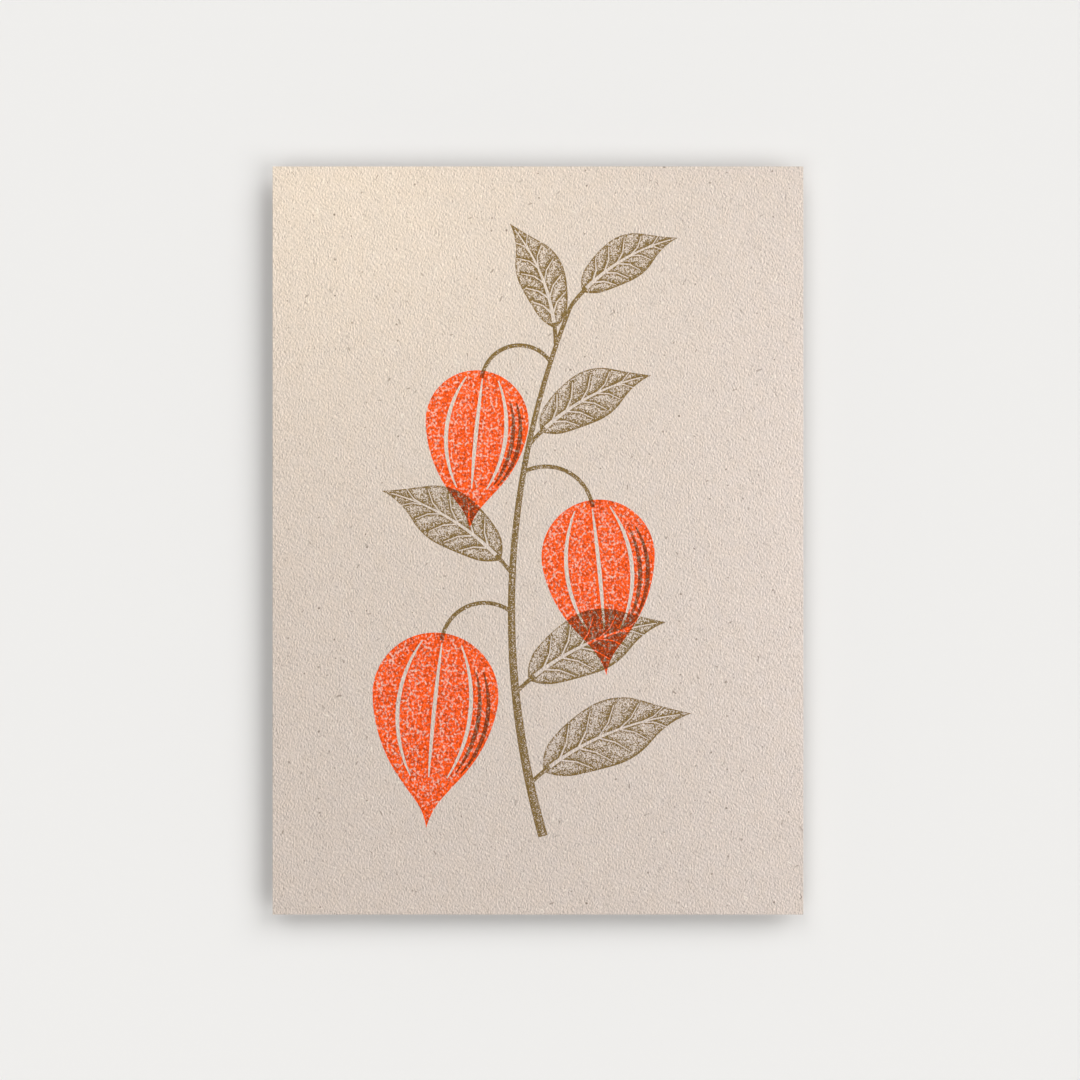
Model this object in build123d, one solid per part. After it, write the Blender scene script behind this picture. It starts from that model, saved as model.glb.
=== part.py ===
from build123d import *
import os
from math import cos, pi, radians, sin

# A picture postcard: a three-ply board and the inks that have soaked into its two outer plies.
# Millimetres and degrees. The card lies on its back: x to the right of the picture, y to its top, z out of
# its face. The origin is the middle of the back. Headings count from x, and turns to the left are positive.

# Board
card_width = 105.0
card_height = 148.0
front_ply_thickness = 0.13
core_ply_thickness = 0.22
back_ply_thickness = 0.13
edge_round = 0.05  # softened by the cutting blade, along both outer edges

# Inks
ink_depth = 0.03  # how deep ink sinks into the fibres
print_margin = 4.0  # nothing is printed nearer than this to an edge

# Stem of the picture
stem_foot_x = 1.0
stem_foot_y = -58.5
stem_length = 107.0
stem_angle = 106.0
stem_turn_angle = -38.0
stem_foot_width = 1.9
stem_top_width = 0.8
stalk_width = 0.8

# Leaves, each at a share of the stem's length and to its left (1) or right (-1)
leaf_places = ((0.10, -1), (0.27, -1), (0.49, 1), (0.73, -1), (0.92, 1), (1.0, -1))
leaf_length = 33.0  # at the stem's foot
leaf_top_length = 22.0
leaf_width_share = 0.40  # of its own length
leaf_base_angle = 62.0  # between the midrib and the edge
leaf_spread_angle = 62.0  # from the stem, at its foot
leaf_top_spread_angle = 15.0
leaf_turn_angle = 34.0  # bends away from the stem
petiole_length = 4.5
petiole_turn_angle = 8.0
midrib_width = 0.75
midrib_tip_width = 0.2
vein_width = 0.4
vein_tip_width = 0.18
vein_sag = 0.5
vein_pairs = 5
vein_first_share = 0.12  # of the leaf's length, as are the next two
vein_last_share = 0.68
vein_sweep_share = 0.16
vein_reach_share = 0.84  # of the leaf's half width

# Lanterns, the orange pods that hang from the stem, placed as the leaves are
lantern_places = ((0.42, 1), (0.68, -1), (0.89, 1))
lantern_length = 45.0  # at the stem's foot
lantern_top_length = 30.0
lantern_width_share = 0.64  # of its own length
lantern_profile = ((0.05, 0.54), (0.36, 1.0), (0.74, 0.50), (0.85, 0.22))  # shares of length and half width
lantern_lean_angle = 8.0  # from hanging straight down
lantern_turn_angle = 6.0
stalk_length = 18.0
stalk_spread_angle = 52.0  # from the stem
rib_width = 0.8
rib_tip_width = 0.25
rib_places = (-0.58, 0.0, 0.58)  # shares of the half width
shade_width = 0.85
shade_tip_width = 0.25
shade_places = (0.72, 0.86)

# Address side, laid out along the card's long side
rule_width = 0.3
divider_length = 82.0
divider_offset = 6.0  # from the middle, towards the stamp
address_line_length = 54.0
address_line_count = 4
address_line_pitch = 10.0
address_line_drop = 4.0  # of the first line, below the middle
address_margin = 8.0  # from the card's edge
stamp_width = 21.0
stamp_height = 25.0
stamp_margin = 8.0

card_thickness = back_ply_thickness + core_ply_thickness + front_ply_thickness


def mix(low, high, share):
    """Value at a share of the way from low to high."""
    return low + (high - low) * share


def bent_line(start, heading, length, turn):
    """Arc that leaves start along a heading and turns evenly over its length."""
    direction = (cos(radians(heading)), sin(radians(heading)))
    return JernArc(start, direction, length / radians(abs(turn)), turn)


def heading_at(line, share):
    """Heading of a line at a share of its length."""
    return Vector(1, 0, 0).get_signed_angle(line % share, Vector(0, 0, 1))


def beside(line, share, distance):
    """Point to the left of a line, at a distance from a share of its length."""
    return line @ share + (line % share).rotate(Axis.Z, 90) * distance


def stroke(line, start_width, middle_width, end_width, edge=ThreePointArc):
    """Face along a line, cut square at both ends, with an arc or a bent edge on each side."""
    widths = ((0, start_width), (0.5, middle_width), (1, end_width))
    left = edge(*[beside(line, share, width / 2) for share, width in widths])
    right = edge(*[beside(line, share, -width / 2) for share, width in widths])
    return make_face([left, right, Line(left @ 0, right @ 0), Line(left @ 1, right @ 1)])


def outline(line, profile, start_angle):
    """Face around a line, of tangent arcs on both sides through the half widths that its profile gives."""
    edges = []
    for side in (1, -1):
        flank = [beside(line, share, side * half_width) for share, half_width in profile]
        points = [line @ 0, *flank, line @ 1]
        tangent = (line % 0).rotate(Axis.Z, side * start_angle)
        for start, end in zip(points, points[1:]):
            edges.append(TangentArc(start, end, tangent=tangent))
            tangent = edges[-1] % 1
    return make_face(edges)


def leaf_half_width(length, share):
    """Half width at a share of a leaf's length: widest nearer its base."""
    return leaf_width_share * length / 2 * sin(pi * share**0.78)


def leaf(base, heading, length, turn):
    """Leaf with its midrib and veins left unprinted."""
    midrib = bent_line(base, heading, length, turn)
    ridge = ThreePointArc(midrib @ 0.05, midrib @ 0.5, midrib @ 0.93)
    slits = [stroke(ridge, midrib_width, mix(midrib_width, midrib_tip_width, 0.5), midrib_tip_width)]
    for i in range(vein_pairs):
        start = mix(vein_first_share, vein_last_share, i / (vein_pairs - 1))
        end = start + vein_sweep_share
        width = mix(vein_width, vein_tip_width, start)
        for side in (1, -1):
            margin = beside(midrib, end, side * vein_reach_share * leaf_half_width(length, end))
            line = SagittaArc(midrib @ start, margin, -side * vein_sag)
            slits.append(stroke(line, width, mix(width, vein_tip_width, 0.5), vein_tip_width, Polyline))
    profile = [(share, leaf_half_width(length, share)) for share in (0.16, 0.43, 0.72)]
    return outline(midrib, profile, leaf_base_angle) - slits


def down_lantern(axis, profile, place):
    """Line down a lantern, at a place across its half width."""
    return ThreePointArc(*[beside(axis, share, place * half_width) for share, half_width in profile[:3]])


def lantern(axis, length):
    """Lantern with its ribs left unprinted, and the strokes that shade one of its flanks."""
    profile = [(share, half * lantern_width_share * length / 2) for share, half in lantern_profile]
    ribs = [stroke(down_lantern(axis, profile, place), rib_tip_width, rib_width, rib_tip_width)
            for place in rib_places]
    shade_lines = [down_lantern(axis, profile, place).trim(0.2, 0.95) for place in shade_places]
    shades = [stroke(line, shade_tip_width, shade_width, shade_tip_width) for line in shade_lines]
    return outline(axis, profile, 90.0) - ribs, shades


def picture():
    """Faces of the picture: stems, leaves, lanterns and the shading of the lanterns."""
    stem = bent_line((stem_foot_x, stem_foot_y), stem_angle, stem_length, stem_turn_angle)
    stems = [stroke(stem, stem_foot_width, mix(stem_foot_width, stem_top_width, 0.5), stem_top_width)]
    leaves = []
    for place, side in leaf_places:
        heading = heading_at(stem, place) + side * mix(leaf_spread_angle, leaf_top_spread_angle, place)
        petiole = bent_line(stem @ place, heading, petiole_length, side * petiole_turn_angle)
        stems.append(stroke(petiole, stalk_width, stalk_width, stalk_width))
        length = mix(leaf_length, leaf_top_length, place)
        leaves.append(leaf(petiole @ 0.8, heading_at(petiole, 0.8), length, side * leaf_turn_angle))
    lanterns = []
    shades = []
    for place, side in lantern_places:
        hang = -90.0 - side * lantern_lean_angle
        start = heading_at(stem, place) + side * stalk_spread_angle
        stalk = bent_line(stem @ place, start, stalk_length, side * ((side * (hang - start)) % 360.0))
        stems.append(stroke(stalk, stalk_width, stalk_width, stalk_width))
        length = mix(lantern_length, lantern_top_length, place)
        pod, strokes = lantern(bent_line(stalk @ 0.92, hang, length, side * lantern_turn_angle), length)
        lanterns.append(pod)
        shades.extend(strokes)
    return Sketch() + stems, Sketch() + leaves, Sketch() + lanterns, Sketch() + shades


def soak(face, surface, inward):
    """Ink of a printed face, sunk into a ply from its surface."""
    return extrude(Pos(0, 0, surface) * face, ink_depth, dir=(0, 0, inward))


def address_side():
    """Faces of the address side, drawn along its long side and then turned on to the back."""
    right = card_height / 2
    upper = card_width / 2
    divider = Pos(divider_offset, 0) * Rectangle(rule_width, divider_length)
    line_middle = right - address_margin - address_line_length / 2
    lines = Sketch() + [Pos(line_middle, -address_line_drop - i * address_line_pitch)
                        * Rectangle(address_line_length, rule_width) for i in range(address_line_count)]
    stamp_place = Pos(right - stamp_margin - stamp_width / 2, upper - stamp_margin - stamp_height / 2)
    stamp = Rectangle(stamp_width, stamp_height)
    stamp -= Rectangle(stamp_width - 2 * rule_width, stamp_height - 2 * rule_width)
    turned = Rot(0, 180, 0) * Rot(0, 0, 90)
    return turned * divider, turned * lines, turned * (stamp_place * stamp)


def ply(bottom, thickness):
    """Full sheet of one ply, with square-cut edges."""
    return extrude(Pos(0, 0, bottom) * Rectangle(card_width, card_height), thickness)


def build():
    printable = Rectangle(card_width - 2 * print_margin, card_height - 2 * print_margin)
    stems, leaves, lanterns, shades = [face & printable for face in picture()]
    olive = stems + leaves + shades
    front = {
        "olive_stem": stems - lanterns,
        "olive_leaves": leaves - stems - lanterns,
        "orange_lanterns": lanterns - olive,
        "olive_over_orange": lanterns & olive,
    }
    divider, lines, stamp = [face & printable for face in address_side()]
    back = {"back_divider": divider, "back_address_lines": lines, "back_stamp_frame": stamp}

    parts = {name: soak(face, card_thickness, -1) for name, face in front.items()}
    front_ply = ply(back_ply_thickness + core_ply_thickness, front_ply_thickness)
    front_ply = fillet(front_ply.faces().sort_by(Axis.Z)[-1].edges(), edge_round)
    front_ply -= list(parts.values())
    back_inks = {name: soak(face, 0, 1) for name, face in back.items()}
    back_ply = ply(0, back_ply_thickness)
    back_ply = fillet(back_ply.faces().sort_by(Axis.Z)[0].edges(), edge_round)
    back_ply -= list(back_inks.values())
    parts.update(back_inks)
    parts["front_ply"] = front_ply
    parts["core_ply"] = ply(back_ply_thickness, core_ply_thickness)
    parts["back_ply"] = back_ply
    return parts


os.makedirs("parts", exist_ok=True)
for name, shape in build().items():
    shape.label = name
    export_step(shape, f"parts/{name}.step")
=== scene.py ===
import math

import bpy
import numpy as np
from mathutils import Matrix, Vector, kdtree
from mathutils.bvhtree import BVHTree
from mathutils.geometry import delaunay_2d_cdt


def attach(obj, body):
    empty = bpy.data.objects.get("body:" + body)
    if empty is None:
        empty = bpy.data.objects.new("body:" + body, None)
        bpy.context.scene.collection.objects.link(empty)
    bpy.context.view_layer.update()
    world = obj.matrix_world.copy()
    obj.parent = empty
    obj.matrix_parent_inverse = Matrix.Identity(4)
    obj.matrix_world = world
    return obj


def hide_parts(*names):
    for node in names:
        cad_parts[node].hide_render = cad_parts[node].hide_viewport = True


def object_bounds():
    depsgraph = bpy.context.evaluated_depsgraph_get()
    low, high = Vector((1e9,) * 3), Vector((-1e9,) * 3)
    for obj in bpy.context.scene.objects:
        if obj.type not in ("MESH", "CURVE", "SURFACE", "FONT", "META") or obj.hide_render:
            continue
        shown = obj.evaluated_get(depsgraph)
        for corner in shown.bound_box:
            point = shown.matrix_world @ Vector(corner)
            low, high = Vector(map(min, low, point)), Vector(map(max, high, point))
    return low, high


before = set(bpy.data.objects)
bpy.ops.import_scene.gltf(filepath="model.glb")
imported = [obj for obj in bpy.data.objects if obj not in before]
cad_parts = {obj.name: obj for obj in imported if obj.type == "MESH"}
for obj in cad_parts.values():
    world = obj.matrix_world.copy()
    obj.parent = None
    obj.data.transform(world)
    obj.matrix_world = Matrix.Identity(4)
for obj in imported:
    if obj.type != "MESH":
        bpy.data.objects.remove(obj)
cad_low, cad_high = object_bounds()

# A printed postcard of recycled board, lying face up. Metres, unless a name ends in _mm.
# Sizes of three numbers are along x, y and z.

MM = 0.001

# Colours of the board and the inks, as linear light
board_colour = (0.571, 0.489, 0.431)
fleck_colour = (0.145, 0.113, 0.086)
pale_fleck_colour = (0.77, 0.70, 0.61)
warm_tint = (1.012, 0.995, 0.965)  # of the board's own colour, as are the next two
cool_tint = (0.988, 1.005, 1.035)
cut_tint = (0.97, 0.96, 0.95)
olive_tint = (0.31, 0.225, 0.075)  # what the ink leaves of the board's own colour
orange_tint = (1.34, 0.152, 0.008)
thin_orange_tint = (1.28, 0.82, 0.74)
overprint_tint = (0.27, 0.39, 0.34)  # what olive leaves of the orange beneath it

# Surface of the board
felt_mm = (0.27, 0.58, 0.5)
felt_sway_mm = (0.6, 0.3, 0.0)
# Strength of the painted highlight and painted shade on the two sides of each felt mark
felt_painted_relief = 0.80
crease_mm = (0.50, 1.15, 0.6)
crease_gap_mm = (0.9, 1.2, 0.9)
crease_half_width = 0.055  # as a share of the range of the ridges that it follows
# Depth of the painted shade that darkens the creases
crease_painted_shade = 0.19
cloud_mm = (4.2, 5.0, 4.0)
cloud_contrast = 0.06
plain_tone = 0.994  # of the sheet between its marks
warm_patch_mm = (2.4, 2.8, 2.0)
torn_fibre_mm = (0.25, 0.25, 0.05)
relief_mm = 0.12
fleck_spacing_mm = (3.1, 3.1, 1.0)
pale_fleck_spacing_mm = (1.7, 1.9, 1.0)
fibre_spacing_mm = (6.0, 1.9, 1.0)
fibre_turns = (22, 78, 118, 66, 160)  # degrees
pale_fibre_turns = (78, 160)

# Inks
olive_grain_mm = 0.20
olive_softness = 0.16  # of the edges of grains
orange_grain_mm = 0.50
orange_softness = 0.26
orange_depth_mm = (0.60, 0.66, 0.6)
net_width_mm = 2.3  # of the cells between the veins of the orange ink
net_length_mm = 3.4
vein_half_width = 0.10  # as a share of a cell
vein_thinning = 0.38
rule_tone = 0.86  # of the rules on the back
film_thickness_mm = 0.025
level_mm = 0.01  # the points of a printed side lie within this of its top
mesh_step_mm = 0.35  # spacing of the points that carry the depth of ink
rim_step_mm = 0.08  # spacing of points along an outline
rim_match_mm = 0.09  # outlines nearer than this to each other are one border between two prints
shade_direction = (-0.62, 0.78)  # from the lower right of a print to its upper left

# Stage
card_lift = 4.5 * MM  # the card lies on a low block, so that its shadow falls clear of it
block_inset = 32.0 * MM
block_gap = 0.02 * MM  # between the block and the card
# The block is dark grey, painted shade that blends it into the shadow under the card
block_shade_colour = (0.30, 0.295, 0.29)
floor_half_width = 0.9
floor_thickness = 0.02
floor_colour = (0.845, 0.837, 0.822)
field_width = 213.65 * MM  # width of the camera's view at the card
camera_lens_mm = 100.0
sensor_mm = 36.0
camera_offset = (0.4 * MM, 0.1 * MM)

# Light
softbox_spread = 42.0  # degrees, seen from the card
softboxes = {  # metres to the right and to the top of the card, for each metre of height, and power
    "softbox_upper_right": ((0.84, 0.76), 1.323),
    "softbox_lower_right": ((0.84, -0.44), 0.984),
    "softbox_upper_left": ((-0.326, 0.76), 0.787),
    "softbox_lower_left": ((-0.326, -0.44), 0.569),
}
card_lamps = {  # place, power and colour
    "warm_lamp": ((-0.042, 0.083, 0.076), 0.100, (1.0, 0.955, 0.67)),
    "cool_lamp": ((0.175, 0.01, 0.065), 0.47, (0.94, 1.0, 1.13)),
}
sky_colour = (1.0, 0.99, 0.975)
horizon_glow = 0.86
high_glow = 0.12
high_sky = 0.45  # where the glow of the horizon ends, as the sine of its elevation


class Graph:
    """Adds shader nodes to a tree and joins them."""

    def __init__(self, tree):
        self.tree = tree

    def node(self, kind, inputs=(), **settings):
        node = self.tree.nodes.new("ShaderNode" + kind)
        for name, value in settings.items():
            setattr(node, name, value)
        for key, value in dict(inputs).items():
            if isinstance(value, bpy.types.NodeSocket):
                self.tree.links.new(value, node.inputs[key])
            else:
                node.inputs[key].default_value = value
        return node

    def math(self, operation, a, b=0.0, c=0.0, clamp=False):
        return self.node("Math", {0: a, 1: b, 2: c}, operation=operation, use_clamp=clamp).outputs[0]

    def ramp(self, value, slope, base, clamp=False):
        """A value times a slope, added to a base."""
        return self.math("MULTIPLY_ADD", value, slope, base, clamp)

    def vector(self, operation, *terms):
        return self.node("VectorMath", enumerate(terms), operation=operation).outputs[0]

    def scale(self, vector, factor):
        return self.node("VectorMath", {0: vector, 3: factor}, operation="SCALE").outputs[0]

    def mix(self, share, a, b):
        return self.node("Mix", {0: share, 6: a, 7: b}, data_type="RGBA").outputs[2]

    def place_mm(self):
        """Place on the card, in millimetres."""
        return self.scale(self.node("TexCoord").outputs["Object"], 1 / MM)

    def bend(self, place, waves, reach):
        """Place moved about by slow waves, as far as a reach along each axis."""
        wave = self.node("TexNoise", {"Vector": place, "Scale": waves, "Detail": 1.0}).outputs["Color"]
        return self.vector("MULTIPLY_ADD", wave, reach, place)

    def noise(self, place, size, detail, shift):
        """Noise whose features measure size, in the units of place."""
        moved = self.node("Mapping", {0: place, 1: shift, 3: tuple(1 / s for s in size)}).outputs[0]
        return self.node("TexNoise", {"Vector": moved, "Scale": 1.0, "Detail": detail}).outputs["Fac"]

    def specks(self, place, spacing, share, radius, turn=0.0, shift=(0, 0, 0)):
        """Scattered specks and a draw for each. A share of the cells hold one, up to a radius in cells."""
        moved = self.node("Mapping", {0: place, 1: shift, 2: (0, 0, math.radians(turn)), 3: spacing},
                          vector_type="TEXTURE").outputs[0]
        cell = self.node("TexVoronoi", {"Vector": moved, "Scale": 1.0, "Randomness": 1.0},
                         voronoi_dimensions="2D")
        draw = self.node("SeparateColor", {0: cell.outputs["Color"]})
        here = self.math("LESS_THAN", draw.outputs[0], share)
        reach = self.ramp(draw.outputs[1], radius * 0.7, radius * 0.3)
        near = self.math("SUBTRACT", reach, cell.outputs["Distance"])
        near = self.math("DIVIDE", near, self.math("MULTIPLY", reach, 0.35), clamp=True)
        return self.math("MULTIPLY", near, here), draw.outputs[2]


def felt_marks(g, place):
    """Colour and height of the plain sheet: felt marks with painted highlight and painted shade on their
    two sides, creases between its fibres darkened by painted shade, and clouding.
    """
    swayed = g.bend(place, 0.8, felt_sway_mm)
    felt = g.noise(swayed, felt_mm, detail=1.5, shift=(0, 0, 0))
    felt_nudged = g.noise(swayed, felt_mm, detail=1.5, shift=(0.9, 0.1, 0))
    ridge = g.noise(swayed, crease_mm, detail=1.0, shift=(3, 7, 0))
    crease = g.math("ABSOLUTE", g.math("SUBTRACT", ridge, 0.5))
    crease = g.ramp(crease, -1 / crease_half_width, 1.0, clamp=True)
    gaps = g.noise(place, crease_gap_mm, detail=1.0, shift=(17, 4, 0))
    crease = g.math("MULTIPLY", crease, g.ramp(gaps, 3.0, -0.8, clamp=True))
    cloud = g.noise(place, cloud_mm, detail=3.0, shift=(11, 2, 0))
    # Felt marks minus the same marks nudged sideways: painted highlight on one side of each mark, painted
    # shade on the other
    tone = g.ramp(g.math("SUBTRACT", felt, felt_nudged), felt_painted_relief, plain_tone)
    # Creases darkened by painted shade
    tone = g.ramp(crease, -crease_painted_shade, tone)
    tone = g.ramp(cloud, cloud_contrast, tone)
    colour = g.vector("MULTIPLY", tone, board_colour)
    warmth = g.noise(place, warm_patch_mm, detail=2.0, shift=(5, 1, 0))
    warm = g.vector("MULTIPLY", colour, warm_tint)
    cool = g.vector("MULTIPLY", colour, cool_tint)
    return g.mix(warmth, warm, cool), g.ramp(crease, -0.25, felt)


def scatter(g, colour, specks, strength, speck_colour):
    """Specks laid over a colour, each at a strength between the least and the greatest."""
    speck, draw = specks
    least, greatest = strength
    share = g.math("MULTIPLY", speck, g.ramp(draw, greatest - least, least))
    return g.mix(share, colour, (*speck_colour, 1))


def add_flecks(g, place, colour, height):
    """Bark flecks, dark and pale, and short loose fibres, added to the plain sheet."""
    ragged = g.bend(place, 2.2, (0.25,) * 3)
    flecks = g.specks(ragged, fleck_spacing_mm, share=0.17, radius=0.092)
    colour = scatter(g, colour, flecks, (0.32, 0.82), fleck_colour)
    flecks = g.specks(ragged, pale_fleck_spacing_mm, share=0.30, radius=0.16, shift=(31, 17, 0))
    colour = scatter(g, colour, flecks, (0.15, 0.55), pale_fleck_colour)
    curled = g.bend(place, 0.5, (1.2,) * 3)
    for i, turn in enumerate(fibre_turns):
        shift = (13 * i, 29 * i, 0)
        fibres = g.specks(curled, fibre_spacing_mm, share=0.09, radius=0.11, turn=turn, shift=shift)
        fibre_colour = pale_fleck_colour if turn in pale_fibre_turns else fleck_colour
        colour = scatter(g, colour, fibres, (0.14, 0.60), fibre_colour)
        height = g.ramp(fibres[0], 0.25, height)
    return colour, height


def board_surface():
    """Node group of the board's fibrous surface: its colour and its height."""
    tree = bpy.data.node_groups.new("board_surface", "ShaderNodeTree")
    for name, kind in (("Color", "NodeSocketColor"), ("Height", "NodeSocketFloat")):
        tree.interface.new_socket(name, in_out="OUTPUT", socket_type=kind)
    g = Graph(tree)
    place = g.place_mm()
    colour, height = add_flecks(g, place, *felt_marks(g, place))
    out = tree.nodes.new("NodeGroupOutput")
    tree.links.new(colour, out.inputs["Color"])
    tree.links.new(height, out.inputs["Height"])


def new_material(name):
    """Empty material, its graph, and the colour and height of the board that it starts from."""
    material = bpy.data.materials.new(name)
    material.use_nodes = True
    material.node_tree.nodes.clear()
    g = Graph(material.node_tree)
    surface = g.node("Group", node_tree=bpy.data.node_groups["board_surface"])
    return material, g, surface.outputs["Color"], surface.outputs["Height"]


def finish_material(g, colour, height):
    """Dull, fibrous surface with the given colour and height."""
    bump = g.node("Bump", {"Strength": 1.0, "Distance": relief_mm * MM, "Height": height})
    rough = g.ramp(height, -0.12, 0.92)
    shader = g.node("BsdfPrincipled", {"Base Color": colour, "Roughness": rough, "Normal": bump.outputs[0],
                                       "Specular IOR Level": 0.22})
    g.node("OutputMaterial", {0: shader.outputs[0]})


def board_material():
    """Bare board, with torn fibres showing along its cut edges."""
    material, g, colour, height = new_material("recycled_board")
    normal = g.node("TexCoord").outputs["Normal"]
    upright = g.math("ABSOLUTE", g.node("SeparateXYZ", {0: normal}).outputs[2])
    cut = g.math("LESS_THAN", upright, 0.6)
    torn = g.noise(g.place_mm(), torn_fibre_mm, detail=2.0, shift=(2, 9, 4))
    edge = g.scale(g.vector("MULTIPLY", colour, cut_tint), g.ramp(torn, 0.5, 0.72))
    finish_material(g, g.mix(cut, colour, edge), height)
    return material


def tone_of(g, ink):
    """Depth of an ink, as written on the points of its film."""
    return g.node("Attribute", attribute_name=ink).outputs["Fac"]


def ink_cover(g, tone, grain_mm, softness, shift):
    """Where ink has taken: grains that close up as the tone rises."""
    grain = g.noise(g.place_mm(), (grain_mm,) * 3, detail=1.0, shift=shift)
    spread = g.ramp(grain, 2.3, -0.65)  # evenly over all tones, and not just about the middle
    return g.ramp(g.math("SUBTRACT", tone, spread), 0.5 / softness, 0.5, clamp=True)


def olive_cover(g, tone):
    return ink_cover(g, tone, olive_grain_mm, olive_softness, shift=(1, 2, 0))


def olive_material(name, tone=None):
    """Olive ink, in fine grains. Its tone is that of the film, unless one is given."""
    material, g, colour, height = new_material(name)
    cover = olive_cover(g, tone_of(g, "olive") if tone is None else tone)
    finish_material(g, g.mix(cover, colour, g.vector("MULTIPLY", colour, olive_tint)), height)
    return material


def orange_colour(g, board):
    """Orange ink over the board: uneven in depth, and thin along a net of fine veins."""
    place = g.place_mm()
    bent = g.bend(place, 0.9, (1.2, 1.2, 0))
    cells = g.vector("MULTIPLY", bent, (1 / net_width_mm, 1 / net_length_mm, 0))
    net = g.node("TexVoronoi", {"Vector": cells, "Scale": 1.0}, feature="DISTANCE_TO_EDGE",
                 voronoi_dimensions="2D").outputs["Distance"]
    vein = g.ramp(net, -1 / vein_half_width, 1.0, clamp=True)
    tone = g.ramp(vein, -vein_thinning, tone_of(g, "orange"))
    cover = ink_cover(g, tone, orange_grain_mm, orange_softness, shift=(4, 8, 0))
    depth = g.noise(place, orange_depth_mm, detail=1.5, shift=(9, 3, 0))
    ink = g.scale(g.vector("MULTIPLY", board, orange_tint), g.ramp(depth, 2.1, -0.04))
    return g.mix(cover, g.vector("MULTIPLY", board, thin_orange_tint), ink)


def orange_material():
    """Orange ink, in coarse grains."""
    material, g, colour, height = new_material("orange_ink")
    finish_material(g, orange_colour(g, colour), height)
    return material


def overprint_material():
    """Olive ink over orange ink."""
    material, g, colour, height = new_material("overprint_ink")
    orange = orange_colour(g, colour)
    cover = olive_cover(g, tone_of(g, "olive"))
    finish_material(g, g.mix(cover, orange, g.vector("MULTIPLY", orange, overprint_tint)), height)
    return material


def printed_face(node):
    """Triangles of a node's printed side, in millimetres, and the height of that side."""
    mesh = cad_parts[node].data
    mesh.calc_loop_triangles()
    places = np.empty(len(mesh.vertices) * 3, np.float32)
    mesh.vertices.foreach_get("co", places)
    places = places.reshape(-1, 3).astype(float)
    corners = np.empty(len(mesh.loop_triangles) * 3, np.int32)
    mesh.loop_triangles.foreach_get("vertices", corners)
    triangles = places[corners.reshape(-1, 3)]
    top = places[:, 2].max()
    level = np.all(triangles[:, :, 2] > top - level_mm * MM, axis=1)
    return np.round(triangles[level][:, :, :2] / MM, 4), top


def cover_of(triangles):
    """Search tree that finds the flat triangle at a place."""
    corners = [(x, y, 0) for triangle in triangles for x, y in triangle]
    return BVHTree.FromPolygons(corners, [(i, i + 1, i + 2) for i in range(0, len(corners), 3)])


def is_covered(cover, place):
    return cover.ray_cast((place.x, place.y, 1), (0, 0, -1))[0] is not None


def rim_edges(triangles):
    """Points of flat triangles, and the edges that run round their outside."""
    points, index = np.unique(triangles.reshape(-1, 2), axis=0, return_inverse=True)
    index = index.reshape(-1, 3)
    first, second, third = index.T
    index = index[(first != second) & (second != third) & (first != third)]
    edges = np.sort(np.concatenate([index[:, [0, 1]], index[:, [1, 2]], index[:, [2, 0]]]), axis=1)
    edges, count = np.unique(edges, axis=0, return_counts=True)
    return points, edges[count == 1]


def twice_area(a, b, c):
    return (b[0] - a[0]) * (c[1] - a[1]) - (b[1] - a[1]) * (c[0] - a[0])


def lattice(triangles, step):
    """Points of a triangular lattice that lie inside flat triangles."""
    row = step * math.sqrt(3) / 2
    found = {}
    for a, b, c in triangles:
        low = np.min((a, b, c), axis=0)
        high = np.max((a, b, c), axis=0)
        whole = twice_area(a, b, c)
        if abs(whole) < 1e-9:
            continue
        for j in range(math.ceil(low[1] / row), math.floor(high[1] / row) + 1):
            shift = 0.5 * (j % 2)
            for i in range(math.ceil(low[0] / step - shift), math.floor(high[0] / step - shift) + 1):
                place = ((i + shift) * step, j * row)
                first = twice_area(place, b, c) / whole
                second = twice_area(place, c, a) / whole
                if first >= 0 and second >= 0 and first + second <= 1:
                    found[i, j] = place
    return [found[key] for key in sorted(found)]


def rim_samples(points, edges):
    """Points at short steps along edges."""
    samples = []
    for a, b in points[edges]:
        count = max(1, math.ceil(np.hypot(*(b - a)) / rim_step_mm))
        for k in range(count):
            samples.append(a + (b - a) * (k + 0.5) / count)
    return np.array(samples)


def tree_of(samples):
    """Search tree of flat points."""
    tree = kdtree.KDTree(len(samples))
    for i, (x, y) in enumerate(samples):
        tree.insert((x, y, 0), i)
    tree.balance()
    return tree


def outer_tree(nodes):
    """Search tree of the outline of several nodes taken as one print."""
    samples = {node: rim_samples(*rim_edges(printed_face(node)[0])) for node in nodes}
    trees = {node: tree_of(samples[node]) for node in nodes}
    kept = []
    for node in nodes:
        others = [trees[other] for other in nodes if other != node]
        for x, y in samples[node]:
            if all(other.find((x, y, 0))[2] > rim_match_mm for other in others):
                kept.append((x, y))
    return tree_of(kept)


def depth_and_side(tree, x, y):
    """Distance from the outline, and how far the nearest stretch of it faces the lower right."""
    near, _, distance = tree.find((x, y, 0))
    if distance < 1e-6:
        return 0.0, 0.0
    return distance, ((x - near.x) * shade_direction[0] + (y - near.y) * shade_direction[1]) / distance


def tone_rule(base, rim, rim_width_mm, shade=0.0, shade_width_mm=math.inf):
    """Tone of an ink: base, deeper by rim along its outline and by shade towards its lower right."""
    def tone(distance, side):
        edge = rim * math.exp(-((distance / rim_width_mm) ** 2))
        return base + edge + shade * side * math.exp(-distance / shade_width_mm)
    return tone


leaf_tone = tone_rule(0.47, 0.44, 0.32, shade=0.20, shade_width_mm=1.6)
stem_tone = tone_rule(0.74, 0.20, 0.25, shade=-0.16)
overlap_tone = tone_rule(0.78, 0.20, 0.25)
lantern_tone = tone_rule(0.79, 0.21, 0.45, shade=0.10, shade_width_mm=2.5)


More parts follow.
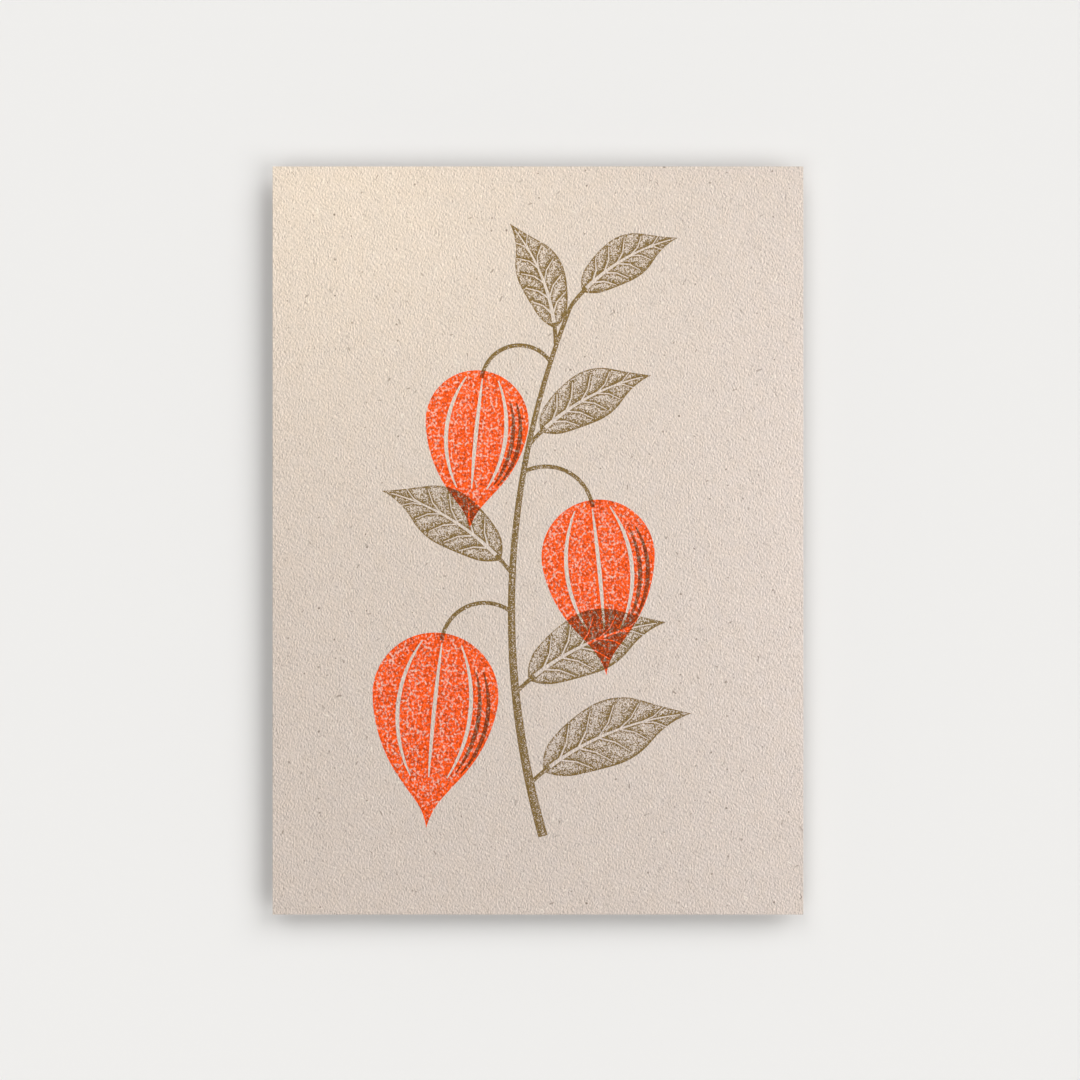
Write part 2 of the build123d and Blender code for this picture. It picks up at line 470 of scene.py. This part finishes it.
def divided_face(triangles):
    """Points and small triangles of a printed side, true to its outline."""
    points, edges = rim_edges(triangles)
    used, edges = np.unique(edges, return_inverse=True)
    edges = edges.reshape(-1, 2)
    outline = [tuple(point) for point in points[used]]
    rim = tree_of(rim_samples(points[used], edges))
    clearance = 0.45 * mesh_step_mm
    inner = [point for point in lattice(triangles, mesh_step_mm) if rim.find((*point, 0))[2] > clearance]
    places = [Vector(point) for point in outline + inner]
    flat, _, faces, *_ = delaunay_2d_cdt(places, edges.tolist(), [], 0, 1e-5)
    cover = cover_of(triangles)
    middles = [sum((flat[i] for i in face), Vector((0, 0))) / 3 for face in faces]
    return flat, [face for face, middle in zip(faces, middles) if is_covered(cover, middle)]


def film_mesh(name, flat, faces, top):
    """Closed film of ink, with a divided face on top."""
    count = len(flat)
    bottom = top - film_thickness_mm * MM
    places = [(point.x * MM, point.y * MM, z) for z in (top, bottom) for point in flat]
    under = [tuple(i + count for i in reversed(face)) for face in faces]
    sides = dict.fromkeys(side for face in faces for side in zip(face, face[1:] + face[:1]))
    walls = [(b, a, a + count, b + count) for a, b in sides if (b, a) not in sides]
    mesh = bpy.data.meshes.new(name)
    mesh.from_pydata(places, [], [tuple(face) for face in faces] + under + walls)
    return mesh


def ink_piece(name, node, material, tones):
    """Film of ink in a node's place, with the depth of each ink written on its points."""
    triangles, top = printed_face(node)
    flat, faces = divided_face(triangles)
    mesh = film_mesh(name, flat, faces, top)
    for ink, (tree, tone) in tones.items():
        values = [min(1.0, max(0.0, tone(*depth_and_side(tree, point.x, point.y)))) for point in flat]
        mesh.attributes.new(ink, "FLOAT", "POINT").data.foreach_set("value", values + values)
    mesh.materials.append(material)
    piece = bpy.data.objects.new(name, mesh)
    bpy.context.scene.collection.objects.link(piece)
    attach(piece, "root")
    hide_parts(node)
    return piece


def dress_nodes(nodes, material):
    """Gives several nodes of the card one material."""
    pieces = [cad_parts[node] for node in nodes]
    for piece in pieces:
        piece.data.materials.clear()
        piece.data.materials.append(material)
    return pieces


def dress_picture():
    """Films of the inks of the picture."""
    leaves = outer_tree(("olive_leaves", "olive_over_orange"))
    stems = outer_tree(("olive_stem",))
    lanterns = outer_tree(("orange_lanterns", "olive_over_orange"))
    olive = olive_material("olive_ink")
    return [
        ink_piece("stem_print", "olive_stem", olive, {"olive": (stems, stem_tone)}),
        ink_piece("leaf_print", "olive_leaves", olive, {"olive": (leaves, leaf_tone)}),
        ink_piece("lantern_print", "orange_lanterns", orange_material(),
                  {"orange": (lanterns, lantern_tone)}),
        ink_piece("overprint", "olive_over_orange", overprint_material(),
                  {"olive": (leaves, overlap_tone), "orange": (lanterns, lantern_tone)}),
    ]


def dress_card():
    """Board and inks of the card, gathered in a collection."""
    board_surface()
    rules = olive_material("back_olive_ink", rule_tone)
    pieces = dress_nodes(("front_ply", "core_ply", "back_ply"), board_material())
    pieces += dress_nodes(("back_divider", "back_address_lines", "back_stamp_frame"), rules)
    pieces += dress_picture()
    card = bpy.data.collections.new("card")
    for piece in pieces:
        card.objects.link(piece)
    return card


def plain_material(name, colour):
    """Even, dull surface."""
    material = bpy.data.materials.new(name)
    material.use_nodes = True
    shader = material.node_tree.nodes["Principled BSDF"]
    shader.inputs["Base Color"].default_value = (*colour, 1)
    shader.inputs["Roughness"].default_value = 0.9
    shader.inputs["Specular IOR Level"].default_value = 0.1
    return material


def slab(name, half_x, half_y, low, high, material):
    """Slab of the stage, about the origin."""
    corners = ((-1, -1), (1, -1), (1, 1), (-1, 1))
    places = [(i * half_x, j * half_y, z) for z in (low, high) for i, j in corners]
    sides = [(i, (i + 1) % 4, (i + 1) % 4 + 4, i + 4) for i in range(4)]
    mesh = bpy.data.meshes.new(name)
    mesh.from_pydata(places, [], [(3, 2, 1, 0), (4, 5, 6, 7), *sides])
    mesh.materials.append(material)
    made = bpy.data.objects.new(name, mesh)
    bpy.context.scene.collection.objects.link(made)


def softbox(name, lean, power):
    """Round softbox far away from the card."""
    data = bpy.data.lights.new(name, "SUN")
    data.angle = math.radians(softbox_spread)
    data.energy = power
    light = bpy.data.objects.new(name, data)
    light.location = (*lean, 1.0)
    light.rotation_euler = light.location.to_track_quat("Z", "Y").to_euler()
    bpy.context.scene.collection.objects.link(light)


def card_lamp(name, place, power, colour, card):
    """Small lamp whose light falls on the card alone."""
    data = bpy.data.lights.new(name, "POINT")
    data.shadow_soft_size = 0.0
    data.energy = power
    data.color = colour
    lamp = bpy.data.objects.new(name, data)
    lamp.location = place
    lamp.light_linking.receiver_collection = card
    bpy.context.scene.collection.objects.link(lamp)


def set_sky():
    """Dim studio, paler towards the horizon."""
    world = bpy.data.worlds.new("studio")
    world.use_nodes = True
    g = Graph(world.node_tree)
    rise = g.node("SeparateXYZ", {0: g.node("TexCoord").outputs["Generated"]}).outputs[2]
    glow = g.node("MapRange", {0: rise, 1: 0.0, 2: high_sky, 3: horizon_glow, 4: high_glow}).outputs[0]
    background = world.node_tree.nodes["Background"]
    background.inputs["Color"].default_value = (*sky_colour, 1)
    world.node_tree.links.new(glow, background.inputs["Strength"])
    bpy.context.scene.world = world


def set_stage(card):
    """Pale floor, the low block that the card lies on, dark grey as painted shade, and soft light."""
    floor = plain_material("pale_floor", floor_colour)
    block = plain_material("shade_grey_block", block_shade_colour)
    slab("floor", floor_half_width, floor_half_width, -card_lift - floor_thickness, -card_lift, floor)
    slab("block", cad_high.x - block_inset, cad_high.y - block_inset, -card_lift, -block_gap, block)
    set_sky()
    for name, (lean, power) in softboxes.items():
        softbox(name, lean, power)
    for name, (place, power, colour) in card_lamps.items():
        card_lamp(name, place, power, colour, card)


def set_camera():
    """Camera straight above the card."""
    camera = bpy.data.objects.new("camera", bpy.data.cameras.new("camera"))
    camera.data.lens = camera_lens_mm
    camera.data.sensor_width = sensor_mm
    camera.data.clip_start = 0.01
    camera.location = (*camera_offset, cad_high.z + field_width * camera_lens_mm / sensor_mm)
    bpy.context.scene.collection.objects.link(camera)
    bpy.context.scene.camera = camera
    bpy.context.scene.view_settings.view_transform = "Standard"


set_stage(dress_card())
set_camera()
